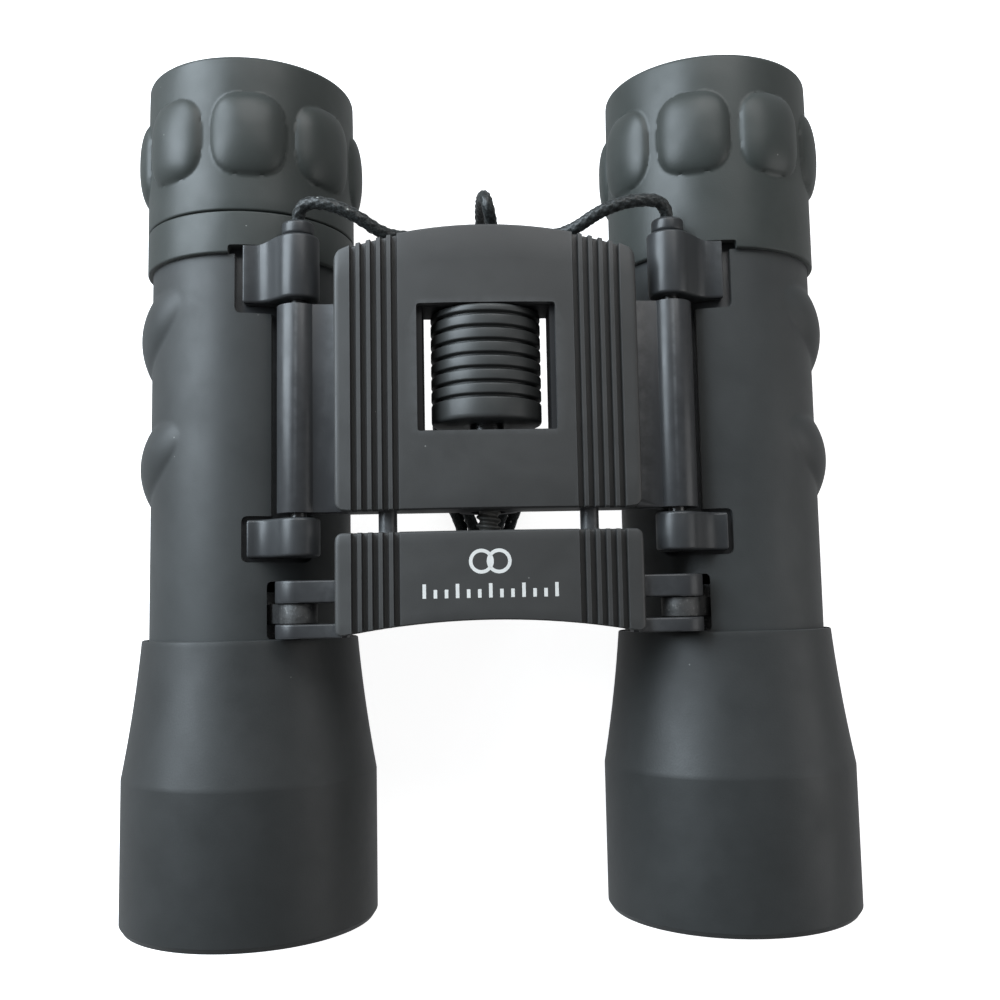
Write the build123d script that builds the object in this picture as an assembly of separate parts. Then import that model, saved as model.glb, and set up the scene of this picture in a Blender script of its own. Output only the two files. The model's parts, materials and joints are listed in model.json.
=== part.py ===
from build123d import *
import os
from math import atan2, cos, degrees, radians, sin, sqrt, tan

# Compact roof-prism binoculars lying flat, hinges and bridge up. Millimetres.
# Y runs along the optical axes, objectives at -Y and eyecups at +Y. The floor is Z = 0.
# Left and right are the user's, so the right barrel, the one with the dioptre, is at -X.
SIDES = {"right": -1, "left": 1}

# Barrels
BARREL_X = 37.6
BARREL_Z = 19.5
EYE_END = 65.7
BELL_END = -65.3
BELL_REAR = -22.5
BELL_CREASE = -43.3
BELL_R = 19.5
BELL_REAR_R = 16.7
BELL_SLEEVE_R = 16.0
BELL_MOUTH_R = 17.8
CELL_SEAT_R = 17.6
CELL_FRONT = -57.5
ARMOUR_R = 15.6
TUBE_R = 14.4
BORE_R = 13.0
TUBE_FRONT = -34.0
TUBE_REAR = 47.0
EYECUP_R = 16.4
EYECUP_LIP = 35.0
EYECUP_MOUTH_R = 14.6
CUP_FLOOR = 57.0
DIOPTRE_SEAM = 41.4
SLIDE_GAP = 0.06
EYE_PADS = 8
EYE_PAD_WIDE = 11.0
EYE_PAD_LONG = 13.8
EYE_PAD_DEEP = 6.0
EYE_PAD_Y = 54.0
EYE_PAD_OUT = 17.55
EYE_PAD_TILT = {"right": 7.0, "left": -19.0}
FINGER_BUMP_Y = (25.0, 4.4)
FINGER_BUMP_SIZE = (4.4, 5.9, 7.2)
FINGER_BUMP_IN = 2.1
FINGER_BUMP_UP = 0.4

# Barrel hinges
HINGE_X = 27.7
HINGE_Z = 36.0
KNUCKLE_R = 3.1
OBJECTIVE_KNUCKLE_R = 2.75
PIN_R = 1.2
LINK_PIN_R = 1.0
LONG_KNUCKLE = (-4.3, 26.3)
UPPER_LUG = (27.3, 36.9)
LOWER_LUG = (-10.6, -5.0)
UPPER_SADDLE_X = 36.0
LOWER_SADDLE_X = 35.3
LUG_STEP = 0.8
LUG_WEB_HALF = 2.7
SADDLE_OVER = 0.75
SLOT_HALF = 3.3
SLOT_Y = (-22.45, -14.0)
CUT_IN = 26.6
CUT_FLOOR = BARREL_Z + 5
TALL = 60
EAR_R = 3.3
EAR_REAR = (-17.25, -14.1)
OBJECTIVE_LUG = (-20.2, -17.35)
EAR_FRONT = (-22.3, -20.3)
FERRULE_R = 2.4
FERRULE = (37.0, 39.2)
HINGE_PIN_END = 38.2

# Lenses and prisms. A lens has its rear face's rim and bulge in Y, then its front face's.
OBJECTIVE_LENS_R = 16.0
CROWN_FACES = (-53.4, 1.4, -55.9, -1.7)
FLINT_FACES = (-51.1, 0.3, -53.4, 1.4)
RETAINER_BORE_R = 14.9
RETAINER_REAR = -56.15
FIELD_LENS_R = 10.0
FIELD_LENS_FACES = (47.4, 0.5, 43.4, -1.4)
EYE_LENS_R = 9.5
EYE_LENS_FACES = (54.35, 1.0, 50.0, 0.6)
OCULAR_CELL = (40.0, 54.6)
OCULAR_SHOULDER = (47.6, 50.0)
OCULAR_SHOULDER_R = 8.5
OCULAR_RING_BORE_R = 8.7
OCULAR_RING_END = 55.7
PRISM_FACE = 8.0
PRISM_TALL = 17.6
PRISM_HALF = 6.0
PRISM_SHIFT = -4.0
PRISM_Y = 12.0
PRISM_GAP = 0.15
PRISM_POCKET = 9.7
PRISM_HOLDER = (-12.0, 14.0)
FIELD_STOP = (30.0, 31.2)
FIELD_STOP_R = 6.5

# Bridges
PLATE_HALF = 22.0
PLATE_TOP = 42.0
PLATE_CAMBER = 1.5
COVER_THICK = 1.4
PLATE_UNDER = 34.8
REAR_PLATE_FRONT = -4.45
REAR_PLATE_REAR = 36.9
REAR_EDGE_BOW = 3.2
FRONT_PLATE_REAR = -7.5
FRONT_PLATE_FRONT = -20.1
FRONT_EDGE_BOW = 2.2
FRONT_SLAB_FRONT = FRONT_PLATE_FRONT - FRONT_EDGE_BOW - 0.5
REAR_CORNER = 1.6
FRONT_CORNER = 1.2
WINDOW_HALF = 10.0
WINDOW = (6.75, 25.3)
RIB_START = 12.8
RIB_PITCH = 1.5
GROOVE_WIDE = 0.85
GROOVE_DEEP = 0.7
GROOVES = 5

SCREW_HEAD_R = 1.7
SCREW_SEAT = 36.0
SHANK_R = 0.85
SHANK_END = 39.2
POST_R = 1.6
POST_END = 37.2
UPRIGHT = (Align.CENTER, Align.CENTER, Align.MIN)
REAR_SCREWS = [(-19.0, 0.0), (19.0, 0.0), (-19.0, 28.0), (19.0, 28.0)]
FRONT_SCREWS = [(-8.5, -13.5), (8.5, -13.5)]

# Focusing
WHEEL_R = 8.2
WHEEL_Z = 34.5
WHEEL = (8.4, 25.0)
WHEEL_GROOVES = 7
SCREW_R = 1.8
SCREW_REAR = 18.0
NUT_R = 2.6
NUT_WALL = 0.9
NUT = (-1.5, 30.5)
ROD_R = 1.35
ROD_REAR = 12.5
SOCKET_END = -14.5
ROD_X = 14.6
ROD_Z = 37.5
BOSS_HALF = 4.3

# Neck cord
CORD_R = 1.0
HANK_SHELF = 4.2
HANK_TOP = 6.2
HANK_HALF = 9.2
HANK_WAIST = 4.5
HANK_FRONT = -19.5
HANK_FRONT_HALF = 6.4
HANK_TIE = -8.5
HANK_REAR = 46.0
TIE_HALF = 5.3
TIE_LONG = 2.8
TIE_OVER = 0.8

os.makedirs("parts", exist_ok=True)


def save(node, shape):
    export_step(shape, f"parts/{node}.step")


def rod(x, z, r, y0, y1):
    """A cylinder along Y from y0 to y1, centred on (x, z)."""
    return Pos(x, (y0 + y1) / 2, z) * Rot(90, 0, 0) * Cylinder(r, y1 - y0)


def ring(x, z, r_out, r_in, y0, y1):
    return rod(x, z, r_out, y0, y1) - rod(x, z, r_in, y0 - 1, y1 + 1)


def block(x0, x1, y0, y1, z0, z1):
    return Pos((x0 + x1) / 2, (y0 + y1) / 2, (z0 + z1) / 2) * Box(x1 - x0, y1 - y0, z1 - z0)


def side_block(side, x_in, x_out, y0, y1, z0, z1):
    """A block between two distances from the middle, on one side."""
    low, high = sorted((side * x_in, side * x_out))
    return block(low, high, y0, y1, z0, z1)


def along_y(face, y0, y1):
    """Extrude a sketch drawn in X and Z from y0 to y1."""
    return extrude(Pos(0, y1, 0) * Rot(90, 0, 0) * face, y1 - y0)


def turned(side, wires):
    """Turn a closed outline of (radius, y) lines about the barrel axis."""
    profile = make_face(wires)
    body = revolve(profile, axis=Axis.Y)
    return Pos(side * BARREL_X, 0, BARREL_Z) * body


def turned_points(side, points):
    return turned(side, Polyline(*points, close=True))


def arch(z_edge, z_centre, half, z_under, y0, y1):
    """A slab whose top is cambered from z_centre in the middle to z_edge at the sides."""
    top = ThreePointArc((-half, z_edge), (0, z_centre), (half, z_edge))
    under = Polyline((half, z_edge), (half, z_under), (-half, z_under), (-half, z_edge))
    return along_y(make_face(top + under), y0, y1)


def hinge_angle():
    """Angle of the hinge seen from the barrel axis, inboard of straight up, in degrees."""
    return degrees(atan2(BARREL_X - HINGE_X, HINGE_Z - BARREL_Z))


def radial_slab(side, r0, r1, half, y0, y1):
    """A slab pointing from the barrel axis at the hinge."""
    slab = Pos(0, (y0 + y1) / 2, (r0 + r1) / 2) * Box(2 * half, y1 - y0, r1 - r0)
    return Pos(side * BARREL_X, 0, BARREL_Z) * Rot(0, -side * hinge_angle(), 0) * slab


def lug(side, y0, y1, saddle_x, step):
    """A hinge knuckle with a web to the barrel and a saddle that stops step short of its rear end."""
    x, z = side * HINGE_X, HINGE_Z
    r = KNUCKLE_R + 0.05
    end = y1 - step
    saddle_r = ARMOUR_R + SADDLE_OVER
    web = radial_slab(side, BORE_R + 0.2, 19.0, LUG_WEB_HALF, y0, end)
    saddle = ring(side * BARREL_X, BARREL_Z, saddle_r, BORE_R + 0.2, y0, end)
    keep = side_block(side, BARREL_X - 9.6, saddle_x, y0, end, BARREL_Z + 9, HINGE_Z + 4)
    lean = radians(90 + side * 14)
    shoulder = (side * BARREL_X + saddle_r * cos(lean), BARREL_Z + saddle_r * sin(lean))
    blend = Polyline(
        (x, z + r * 0.55),
        (side * (HINGE_X + 2.6), z + 1.6),
        (side * (HINGE_X + 4.1), z - 0.2),
        shoulder,
        (side * (BARREL_X - 5.0), BARREL_Z + 13.6),
        (x, z - r * 0.6),
        close=True,
    )
    return rod(x, z, r, y0, y1) + web + (saddle & keep) + along_y(make_face(blend), y0, end)


def chassis(side):
    """Barrel tube with its two hinge lugs and the slot for the objective's lug."""
    tube = ring(side * BARREL_X, BARREL_Z, TUBE_R, BORE_R, TUBE_FRONT, TUBE_REAR)
    tube += lug(side, *UPPER_LUG, UPPER_SADDLE_X, LUG_STEP)
    tube += lug(side, *LOWER_LUG, LOWER_SADDLE_X, 0)
    tube -= rod(side * HINGE_X, HINGE_Z, PIN_R + 0.05, LOWER_LUG[0] - 1, UPPER_LUG[1] + 1)
    tube -= rod(side * BARREL_X, BARREL_Z, BORE_R, TUBE_FRONT - 1, TUBE_REAR + 1)
    tube -= objective_slot(side)
    return tube


def objective_slot(side):
    return radial_slab(side, BORE_R - 1.5, 22.0, SLOT_HALF, *SLOT_Y)


def armour(side):
    """Rubber sleeve with finger bumps and cut-outs round the lugs."""
    sleeve = ring(side * BARREL_X, BARREL_Z, ARMOUR_R, TUBE_R, TUBE_FRONT, EYECUP_LIP)
    for y in FINGER_BUMP_Y:
        pad = scale(Sphere(1), by=FINGER_BUMP_SIZE)
        sleeve += Pos(side * (BARREL_X + ARMOUR_R - FINGER_BUMP_IN), y, BARREL_Z + FINGER_BUMP_UP) * pad
    sleeve -= rod(side * BARREL_X, BARREL_Z, TUBE_R, TUBE_FRONT - 1, EYECUP_LIP + 1)
    for y0, y1, x_out in (
        (LONG_KNUCKLE[1] - 0.3, EYECUP_LIP + 1, 38.6),
        (LOWER_LUG[0] - 0.6, LOWER_LUG[1] + 0.45, 36.2),
        (LONG_KNUCKLE[0] - 0.3, LONG_KNUCKLE[1] - 0.25, 32.0),
    ):
        sleeve -= side_block(side, CUT_IN, x_out, y0, y1, CUT_FLOOR, TALL)
    return sleeve - objective_slot(side)


def eye_bumps(side, tilt):
    """Soft rectangular bumps round an eyecup."""
    group = []
    for i in range(EYE_PADS):
        pad = Box(EYE_PAD_WIDE, EYE_PAD_LONG, EYE_PAD_DEEP)
        pad = fillet(pad.edges().filter_by(Axis.Z), 3.6)
        pad = fillet(pad.faces().sort_by(Axis.Z)[-1].edges(), 1.2)
        placed = Pos(0, EYE_PAD_Y, EYE_PAD_OUT - EYE_PAD_DEEP / 2) * pad
        group.append(Pos(side * BARREL_X, 0, BARREL_Z) * Rot(0, tilt + 360 / EYE_PADS * i, 0) * placed)
    return group


def lug_notch(side):
    """Room for the upper lug in the lip of an eyepiece, deeper for its knuckle."""
    y0, y1 = EYECUP_LIP - 1, UPPER_LUG[1] + 0.1
    notch = side_block(side, CUT_IN, 38.6, y0, y1 - LUG_STEP, CUT_FLOOR, TALL)
    return notch + side_block(side, CUT_IN, HINGE_X + KNUCKLE_R + 0.6, y0, y1, CUT_FLOOR, TALL)


def eyecup(side, y0, tilt, fixed):
    """Eyecup with its bumps. The fixed one hugs the tube, the other runs on it."""
    gap = 0.0 if fixed else SLIDE_GAP
    inner_r = BORE_R if fixed else BORE_R + 0.4
    start = y0
    lip_r = ARMOUR_R if fixed else TUBE_R + gap
    lip_end = EYECUP_LIP + 2.0 if fixed else y0 + 1.0
    outline = [
        (EYECUP_R, start),
        (EYECUP_R, EYE_END - 1.0),
        (EYECUP_R - 0.5, EYE_END),
        (EYECUP_MOUTH_R + 0.4, EYE_END),
        (EYECUP_MOUTH_R, EYE_END - 0.7),
        (EYECUP_MOUTH_R - 0.6, CUP_FLOOR),
        (inner_r, CUP_FLOOR),
        (inner_r, TUBE_REAR + (0 if fixed else 0.3)),
        (TUBE_R + gap, TUBE_REAR + (0 if fixed else 0.3)),
        (TUBE_R + gap, lip_end),
        (lip_r, lip_end),
        (lip_r, start),
    ]
    clean = [p for i, p in enumerate(outline) if i == 0 or p != outline[i - 1]]
    cup = turned_points(side, clean)
    core = rod(side * BARREL_X, BARREL_Z, EYECUP_R - 0.8, 40, 64)
    for pad in eye_bumps(side, tilt):
        cup += pad - core
    return cup - lug_notch(side) if fixed else cup


def bell(side):
    """Objective bell: a flared sleeve that slides over the armour's front end."""
    outer = Spline(
        (BELL_REAR_R, BELL_REAR),
        (18.2, -33.5),
        (BELL_R, BELL_CREASE),
        tangents=((0.35, -4.0), (0.6, -4.0)),
    )
    rest = Polyline(
        (BELL_R, BELL_CREASE),
        (BELL_R, BELL_END + 0.5),
        (BELL_R - 0.4, BELL_END),
        (BELL_MOUTH_R + 0.3, BELL_END),
        (BELL_MOUTH_R, BELL_END + 0.3),
        (BELL_MOUTH_R, CELL_FRONT),
        (CELL_SEAT_R, CELL_FRONT),
        (CELL_SEAT_R, -46.0),
        (BELL_SLEEVE_R, -38.5),
        (BELL_SLEEVE_R, BELL_REAR),
        (BELL_REAR_R, BELL_REAR),
    )
    return turned(side, outer + rest)


def objective_carrier(side):
    """Sliding inner tube with the lens cell in front and the lug that joins the front bridge."""
    r = BORE_R - SLIDE_GAP
    body = turned_points(
        side,
        [
            (r, -15.5),
            (r, -41.0),
            (CELL_SEAT_R, -47.0),
            (CELL_SEAT_R, CELL_FRONT),
            (OBJECTIVE_LENS_R, CELL_FRONT),
            (OBJECTIVE_LENS_R, -51.0),
            (14.6, -51.0),
            (14.6, -48.0),
            (11.6, -43.0),
            (11.6, -15.5),
        ],
    )
    y0, y1 = OBJECTIVE_LUG
    body += radial_slab(side, 12.0, 18.0, 2.4, y0, y1)
    body += rod(side * HINGE_X, HINGE_Z, OBJECTIVE_KNUCKLE_R, y0, y1)
    return body - rod(side * HINGE_X, HINGE_Z, LINK_PIN_R + 0.05, y0 - 1, y1 + 1)


def lens_face(r, edge, sag):
    """Arc from the axis to the rim at y = edge. Its middle stands at edge + sag."""
    bend = (r * r + sag * sag) / (2 * abs(sag))
    rise = bend - sqrt(bend * bend - r * r / 4)
    half_way = edge + sag - rise * (1 if sag > 0 else -1)
    return (0, edge + sag), (r / 2, half_way), (r, edge)


def lens(side, r, back, back_sag, front, front_sag):
    """A lens of edge radius r between two spherical faces, the back one nearer the eye."""
    upper = lens_face(r, back, back_sag)
    lower = lens_face(r, front, front_sag)
    outline = Line(lower[0], upper[0])
    outline += ThreePointArc(*upper)
    outline += Line(upper[2], lower[2])
    outline += ThreePointArc(*reversed(lower))
    return turned(side, outline)


def objective_lenses(side, name):
    save(f"{name}_crown_lens", lens(side, OBJECTIVE_LENS_R, *CROWN_FACES))
    save(f"{name}_flint_lens", lens(side, OBJECTIVE_LENS_R, *FLINT_FACES))
    retainer = ring(side * BARREL_X, BARREL_Z, OBJECTIVE_LENS_R, RETAINER_BORE_R, CELL_FRONT, RETAINER_REAR)
    save(f"{name}_lens_retainer", retainer)


def prisms(side, name):
    """Half prism and roof prism in a carrier that fits the barrel tube."""
    x = side * BARREL_X
    base = BARREL_Z + PRISM_SHIFT
    holder = rod(x, BARREL_Z, BORE_R, *PRISM_HOLDER)
    low, high = BARREL_Z - PRISM_POCKET, BARREL_Z + PRISM_POCKET
    holder -= block(x - PRISM_HALF, x + PRISM_HALF, PRISM_HOLDER[0] - 1, PRISM_HOLDER[1] + 1, low, high)
    corner_y = PRISM_Y - 1.707 * PRISM_FACE
    corner_z = base - 0.707 * PRISM_FACE
    roof_y = corner_y - PRISM_GAP
    k = 0.7071 * PRISM_TALL

    def prism(points):
        face = make_face(Polyline(*points, close=True))
        plane = Plane(origin=(x - PRISM_HALF, 0, 0), x_dir=(0, 1, 0), z_dir=(1, 0, 0))
        return extrude(plane * face, 2 * PRISM_HALF)

    half_prism = prism([(PRISM_Y, base), (PRISM_Y, base + PRISM_FACE), (corner_y, corner_z)])
    roof = prism([(roof_y, corner_z), (roof_y, corner_z + PRISM_TALL), (roof_y + k, corner_z + k)])
    save(f"{name}_prism_holder", holder)
    save(f"{name}_half_prism", half_prism)
    save(f"{name}_roof_prism", roof - half_prism)
    save(f"{name}_field_stop", ring(x, BARREL_Z, BORE_R, FIELD_STOP_R, *FIELD_STOP))


def eyepiece(side, name, r_out):
    """Lens cell of the eyepiece with its two lenses and retaining ring."""
    front, rear = OCULAR_CELL
    step_front, step_rear = OCULAR_SHOULDER
    cell = turned_points(
        side,
        [
            (r_out, front),
            (r_out, rear),
            (EYE_LENS_R, rear),
            (EYE_LENS_R, step_rear),
            (OCULAR_SHOULDER_R, step_rear),
            (OCULAR_SHOULDER_R, step_front),
            (FIELD_LENS_R, step_front),
            (FIELD_LENS_R, front),
        ],
    )
    save(f"{name}_ocular_cell", cell)
    save(f"{name}_field_lens", lens(side, FIELD_LENS_R, *FIELD_LENS_FACES))
    save(f"{name}_eye_lens", lens(side, EYE_LENS_R, *EYE_LENS_FACES))
    last_ring = ring(side * BARREL_X, BARREL_Z, r_out, OCULAR_RING_BORE_R, rear, OCULAR_RING_END)
    save(f"{name}_ocular_ring", last_ring)


def bowed_slab(y_front, front_bow, y_rear, rear_bow, corner):
    """Plan outline of a bridge plate with bowed ends, as a tall block to cut with."""
    h = PLATE_HALF
    outline = Line((-h, y_front - front_bow), (-h, y_rear - rear_bow))
    if rear_bow:
        outline += ThreePointArc((-h, y_rear - rear_bow), (0, y_rear), (h, y_rear - rear_bow))
    else:
        outline += Line((-h, y_rear), (h, y_rear))
    outline += Line((h, y_rear - rear_bow), (h, y_front - front_bow))
    if front_bow:
        outline += ThreePointArc((h, y_front - front_bow), (0, y_front), (-h, y_front - front_bow))
    else:
        outline += Line((h, y_front), (-h, y_front))
    plan = extrude(Pos(0, 0, 20) * make_face(outline), 40)
    return fillet(plan.edges().filter_by(Axis.Z), corner)


def cover(plan, y0, y1):
    """Thin cambered cover with a band of grooves along each side."""
    z_edge = PLATE_TOP - PLATE_CAMBER
    shell = arch(z_edge, PLATE_TOP, PLATE_HALF, PLATE_UNDER, y0, y1)
    inner_top = PLATE_TOP - COVER_THICK
    shell -= arch(z_edge - COVER_THICK, inner_top, PLATE_HALF, PLATE_UNDER - 1, y0 - 1, y1 + 1)
    shell &= plan
    top = shell.faces().filter_by(lambda f: f.center().Z > PLATE_TOP - 1.2 and f.area > 100)
    shell = chamfer(top.edges(), 0.35)
    for side in SIDES.values():
        for i in range(GROOVES):
            x = side * (RIB_START + 0.35 + i * RIB_PITCH)
            z = PLATE_TOP - PLATE_CAMBER * (x / PLATE_HALF) ** 2
            shell -= block(x - GROOVE_WIDE / 2, x + GROOVE_WIDE / 2, y0 - 5, y1 + 5, z - GROOVE_DEEP, z + 2)
    return shell


def casting(plan, y0, y1):
    """Cambered block under a cover."""
    z_edge = PLATE_TOP - PLATE_CAMBER - COVER_THICK
    return arch(z_edge, PLATE_TOP - COVER_THICK, PLATE_HALF, PLATE_UNDER, y0, y1) & plan


def boss(y0, y1):
    """Rounded boss under the bridge for the focusing screw."""
    neck = block(-BOSS_HALF, BOSS_HALF, y0, y1, WHEEL_Z, PLATE_UNDER + 0.5)
    return neck + rod(0, WHEEL_Z, BOSS_HALF, y0, y1)


def knuckle_arm(side, y0, y1, r):
    """A knuckle on the hinge axis with its arm back to the plate's side."""
    arm_in, arm_out = side * (PLATE_HALF - 1.5), side * HINGE_X
    arm = block(min(arm_in, arm_out), max(arm_in, arm_out), y0, y1, PLATE_UNDER - 0.3, HINGE_Z + 2.0)
    return rod(side * HINGE_X, HINGE_Z, r, y0, y1) + arm


def rear_bridge():
    y0, y1 = REAR_PLATE_FRONT, REAR_PLATE_REAR
    plan = bowed_slab(y0, 0, y1, REAR_EDGE_BOW, REAR_CORNER)
    body = casting(plan, y0, y1)
    body += boss(y0, WINDOW[0])
    body += boss(WINDOW[1], 33.0)
    for side in SIDES.values():
        body += knuckle_arm(side, *LONG_KNUCKLE, KNUCKLE_R)
        body -= rod(side * HINGE_X, HINGE_Z, PIN_R, y0 - 9, y1)
        body -= rod(side * ROD_X, ROD_Z, ROD_R + 0.06, y0 - 1, 15.0)
    for spot in REAR_SCREWS:
        body -= screw_hole(*spot)
    body -= block(-WINDOW_HALF, WINDOW_HALF, *WINDOW, 20, 50)
    body -= rod(0, WHEEL_Z, NUT_R + 0.06, y0 - 1, 31.5)
    return body


def screw_hole(x, y):
    """Hole for a cover screw, driven in from below, and for the cover's post above it."""
    deep = SCREW_SEAT - PLATE_UNDER + 1
    hole = Pos(x, y, PLATE_UNDER - 1) * Cylinder(SCREW_HEAD_R + 0.1, deep, align=UPRIGHT)
    hole += Pos(x, y, SCREW_SEAT - 1) * Cylinder(SHANK_R + 0.1, 4, align=UPRIGHT)
    return hole + Pos(x, y, POST_END) * Cylinder(POST_R, 8, align=UPRIGHT)


def screw(x, y):
    """Small pan-head screw with a cross recess, head down."""
    body = Pos(x, y, SCREW_SEAT - 1) * Cylinder(SCREW_HEAD_R, 1.0, align=UPRIGHT)
    body = fillet(body.edges().sort_by(Axis.Z)[0], 0.35)
    body += Pos(x, y, SCREW_SEAT) * Cylinder(SHANK_R, SHANK_END - SCREW_SEAT, align=UPRIGHT)
    for size in ((1.9, 0.4), (0.4, 1.9)):
        body -= Pos(x, y, SCREW_SEAT - 1) * Box(*size, 1.0)
    return body


def add_posts(shell, spots, thick_z):
    """Posts under a cover that its screws go into."""
    for x, y in spots:
        post = Pos(x, y, POST_END) * Cylinder(POST_R, thick_z - POST_END, align=UPRIGHT)
        shell += post
        shell -= Pos(x, y, POST_END - 1) * Cylinder(SHANK_R, SHANK_END - POST_END + 1, align=UPRIGHT)
    return shell


def rear_cover():
    y0, y1 = REAR_PLATE_FRONT, REAR_PLATE_REAR
    plan = bowed_slab(y0, 0, y1, REAR_EDGE_BOW, REAR_CORNER)
    shell = cover(plan, y0, y1) - block(-WINDOW_HALF, WINDOW_HALF, *WINDOW, 20, 50)
    return add_posts(shell, REAR_SCREWS, 39.8)


def front_plan():
    return bowed_slab(FRONT_PLATE_FRONT, FRONT_EDGE_BOW, FRONT_PLATE_REAR, 0, FRONT_CORNER)


def front_bridge():
    y0, y1 = EAR_FRONT[0], FRONT_PLATE_REAR
    body = casting(front_plan(), FRONT_SLAB_FRONT, y1)
    body += boss(-16.5, y1)
    for side in SIDES.values():
        body += knuckle_arm(side, *EAR_REAR, EAR_R)
        body += knuckle_arm(side, *EAR_FRONT, EAR_R)
        body -= rod(side * HINGE_X, HINGE_Z, LINK_PIN_R, y0 - 1, y1)
        body -= rod(side * ROD_X, ROD_Z, ROD_R, SOCKET_END, y1 + 1)
    for spot in FRONT_SCREWS:
        body -= screw_hole(*spot)
    return body - rod(0, WHEEL_Z, SCREW_R, SOCKET_END, y1 + 1)


def front_cover():
    shell = cover(front_plan(), FRONT_SLAB_FRONT, FRONT_PLATE_REAR)
    return add_posts(shell, FRONT_SCREWS, 40.8)


def screws(spots):
    return Compound(children=[screw(x, y) for x, y in spots])


def focus_grip():
    """Grooved focusing wheel."""
    y0, y1 = WHEEL
    grip = ring(0, WHEEL_Z, WHEEL_R, NUT_R + NUT_WALL, y0, y1)
    grip = chamfer(grip.edges().filter_by(GeomType.CIRCLE).sort_by(SortBy.RADIUS)[-2:], 0.5)
    pitch = (y1 - y0 - 2.6) / WHEEL_GROOVES
    for i in range(WHEEL_GROOVES):
        y = y1 - 1.3 - i * pitch
        grip -= ring(0, WHEEL_Z, WHEEL_R + 1, WHEEL_R - 0.9, y - 0.35, y + 0.35)
    return grip


def focus_nut():
    """Threaded sleeve in the wheel, with a bearing end in each wall of the window."""
    body = rod(0, WHEEL_Z, NUT_R, *NUT)
    body += rod(0, WHEEL_Z, NUT_R + NUT_WALL, *WHEEL)
    return body - rod(0, WHEEL_Z, SCREW_R + 0.06, -3, 22.0)


def ferrule(side):
    """Cap on the rear end of a hinge pin that the neck cord comes out of."""
    x = side * HINGE_X
    cap = rod(x, HINGE_Z, FERRULE_R, *FERRULE)
    cap = chamfer(cap.edges().filter_by(GeomType.CIRCLE), 0.35)
    return cap - rod(x, HINGE_Z, PIN_R, FERRULE[0] - 1, HINGE_PIN_END)


# Route of each cord lead: out of the ferrule, over towards the middle, down behind the bridge
# and forward into the hank. The left one makes a small bight on its way down.
LEAD_ROUTES = {
    "left": [
        (27.7, 38.6, 35.7),
        (27.6, 41.7, 37.2),
        (22.8, 41.6, 38.7),
        (17.6, 40.2, 38.2),
        (13.2, 37.5, 36.4),
        (9.2, 37.4, 34.0),
        (5.6, 37.8, 30.0),
        (3.0, 38.8, 25.5),
        (1.9, 40.8, 23.2),
        (1.0, 44.2, 28.8),
        (0.2, 47.6, 26.6),
        (-0.3, 47.2, 18.0),
        (0.6, 42.5, 9.5),
        (1.9, 35.0, 5.2),
    ],
    "right": [
        (-27.7, 38.6, 35.7),
        (-27.6, 41.8, 37.0),
        (-23.5, 41.6, 38.5),
        (-18.9, 39.7, 38.2),
        (-14.8, 37.2, 36.2),
        (-10.5, 37.4, 34.4),
        (-6.5, 37.3, 31.2),
        (-3.2, 38.2, 26.5),
        (-2.3, 38.8, 20.0),
        (-2.5, 37.8, 12.0),
        (-2.6, 34.6, 7.4),
        (-2.6, 30.5, 5.0),
    ],
}


def lead(name):
    """Neck cord from the ferrule down to the hank, as straight runs with tangent arcs."""
    points = [Vector(*p) for p in LEAD_ROUTES[name]]
    radii = []
    for a, b, c in zip(points, points[1:], points[2:]):
        turn = (b - a).get_angle(c - b)
        run = min((b - a).length, (c - b).length)
        radii.append(0.45 * run / tan(radians(turn / 2)))
    path = FilletPolyline(*points, radius=radii)
    start = Plane(origin=points[0], z_dir=points[1] - points[0])
    tube = sweep(start * Circle(CORD_R), path=path)
    return tube & (block(-60, 60, FERRULE[1], 60, HANK_TOP, 60) + block(-26, 26, 30, 60, HANK_TOP, 60))


def hank_layer(grow, z0, z1):
    """One layer of the hank: a racetrack pinched where the tie holds it."""
    half = HANK_HALF + grow
    waist = HANK_WAIST + grow
    rear, front = HANK_REAR + grow, HANK_FRONT - grow
    tip = HANK_FRONT_HALF + grow
    side = [
        (half * 0.4, rear),
        (half, rear - half * 0.65),
        (half, 9.0),
        (waist, HANK_TIE),
        (tip, front + tip),
        (tip, front + tip * 0.7),
        (tip * 0.4, front),
    ]
    mirrored = [(-x, y) for x, y in reversed(side)]
    plan = make_face(Polyline(*side, *mirrored, close=True))
    plan = fillet(plan.vertices(), 1.2)
    return Pos(0, 0, z0) * extrude(plan, z1 - z0)


def hank():
    """Outer shape of the tied hank of neck cord under the bridge: two full layers and a smaller one."""
    return hank_layer(0, 0, HANK_SHELF) + hank_layer(-2 * CORD_R, HANK_SHELF, HANK_TOP)


def cord_tie():
    """Small wrap that holds the hank together near its front end."""
    y0 = HANK_TIE - TIE_LONG / 2
    outer = block(-TIE_HALF, TIE_HALF, y0, y0 + TIE_LONG, 0.0, HANK_TOP + TIE_OVER)
    outer = fillet(outer.edges().filter_by(Axis.Y), 0.7)
    return outer - hank()


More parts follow.
